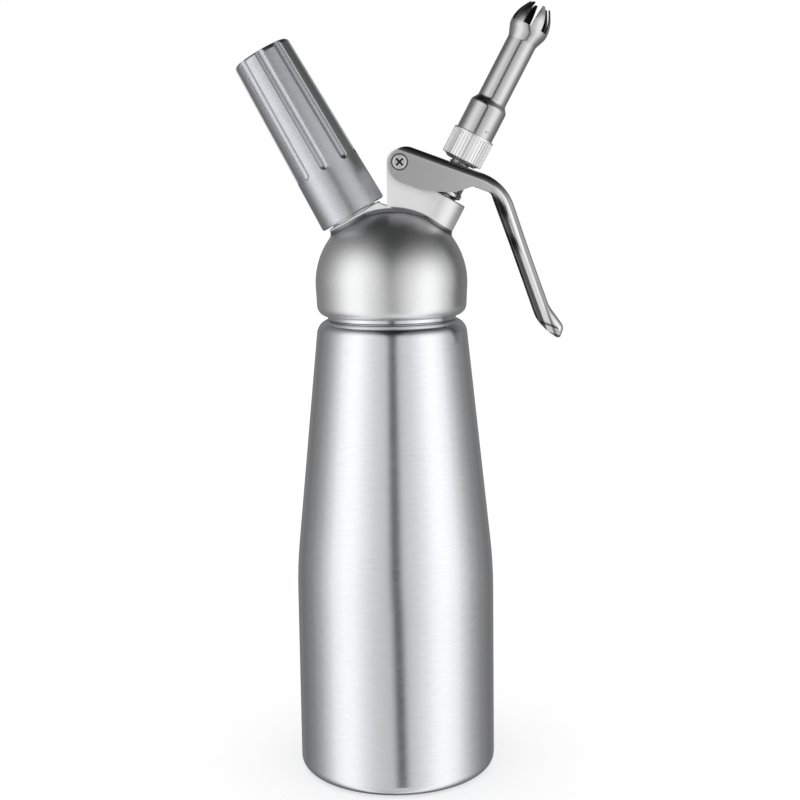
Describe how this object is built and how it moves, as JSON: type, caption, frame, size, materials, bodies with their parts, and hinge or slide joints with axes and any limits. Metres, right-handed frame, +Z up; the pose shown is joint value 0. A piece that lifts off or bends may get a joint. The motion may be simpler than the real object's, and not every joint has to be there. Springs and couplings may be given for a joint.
{
  "type": "whipped cream dispenser",
  "caption": "Screw-topped metal bottle with a domed head that carries a fluted gas charger holder, a squeeze lever and a lever-worked nozzle, for dispensing whipped cream.",
  "frame": {"origin": "centre of the flat base that the bottle stands on", "axes": "+Z up along the bottle's axis, +X towards the lever and the nozzle, so the charger holder leans to -X"},
  "size_m": [0.127, 0.08, 0.3075],
  "materials": {
    "bottle_aluminium": "brushed satin",
    "head_aluminium": "blasted matte, smooth on the bosses",
    "holder_aluminium": "blasted matte",
    "lever_steel": "satin on the flanges, polished on the handle",
    "tip_steel": "polished satin",
    "stem_steel": "turned",
    "spring_steel": "drawn wire",
    "plated_brass": "bright plated, fine knurl",
    "screw_steel": "bright plated",
    "charger_steel": "zinc plated",
    "white_silicone": "smooth",
    "black_rubber": "matte"
  },
  "bodies": {
    "bottle": {"bottle": "bottle_aluminium"},
    "head_gasket": {"head_gasket": "white_silicone"},
    "head": {"head_casting": "head_aluminium", "charger_port": "plated_brass", "port_o_ring": "black_rubber", "piercing_pin": "stem_steel", "charger_seal": "white_silicone", "non_return_sleeve": "white_silicone", "stem_o_ring": "black_rubber", "pivot_barrel": "screw_steel", "pivot_screws": "screw_steel"},
    "lever": {"lever": "lever_steel"},
    "valve": {"valve_stem": "stem_steel", "spring_cup": "stem_steel", "stem_clip": "spring_steel", "valve_spring": "spring_steel", "poppet_seal": "black_rubber", "seal_backing_washer": "stem_steel", "poppet_nut": "plated_brass"},
    "adapter_washer": {"adapter_washer": "white_silicone"},
    "tip": {"tip_adapter": "plated_brass", "decorating_tip": "tip_steel"},
    "gas_charger": {"gas_charger": "charger_steel"},
    "charger_holder": {"charger_holder": "holder_aluminium"}
  },
  "joints": [
    {"name": "head_rise", "type": "slide", "parent": "bottle", "child": "head_gasket", "axis": [0, 0, 1], "range_m": [0, 0.009]},
    {"name": "head_turn", "type": "hinge", "parent": "head_gasket", "child": "head", "pos_m": [0, 0, 0.2], "axis": [0, 0, 1], "range_deg": [0, 1080]},
    {"name": "lever_squeeze", "type": "hinge", "parent": "head", "child": "lever", "pos_m": [0.00378, 0, 0.2466], "axis": [0, 1, 0], "range_deg": [0, 10], "stiffness_Nm_per_rad": 0.9, "springref_deg": -10.31},
    {"name": "valve_travel", "type": "slide", "parent": "head", "child": "valve", "axis": [-0.4695, 0, -0.8829], "range_m": [0, 0.0038], "deforming": ["valve_spring"]},
    {"name": "tip_rise", "type": "slide", "parent": "valve", "child": "adapter_washer", "axis": [0.4695, 0, 0.8829], "range_m": [0, 0.0075]},
    {"name": "tip_turn", "type": "hinge", "parent": "adapter_washer", "child": "tip", "pos_m": [0, 0, 0.1943], "axis": [0.4695, 0, 0.8829], "range_deg": [0, 2160]},
    {"name": "charger_rise", "type": "slide", "parent": "head", "child": "gas_charger", "axis": [-0.4879, 0, 0.8729], "range_m": [0, 0.009]},
    {"name": "holder_turn", "type": "hinge", "parent": "gas_charger", "child": "charger_holder", "pos_m": [0, 0, 0.2004], "axis": [-0.4879, 0, 0.8729], "range_deg": [0, 1620]}
  ],
  "couplings": [
    {"joint": "head_rise", "follows": "head_turn", "m_per_rad": 0.00047746},
    {"joint": "valve_travel", "follows": "lever_squeeze", "m_per_rad": 0.0216},
    {"joint": "tip_rise", "follows": "tip_turn", "m_per_rad": 0.00019894},
    {"joint": "charger_rise", "follows": "holder_turn", "m_per_rad": 0.00031831}
  ]
}
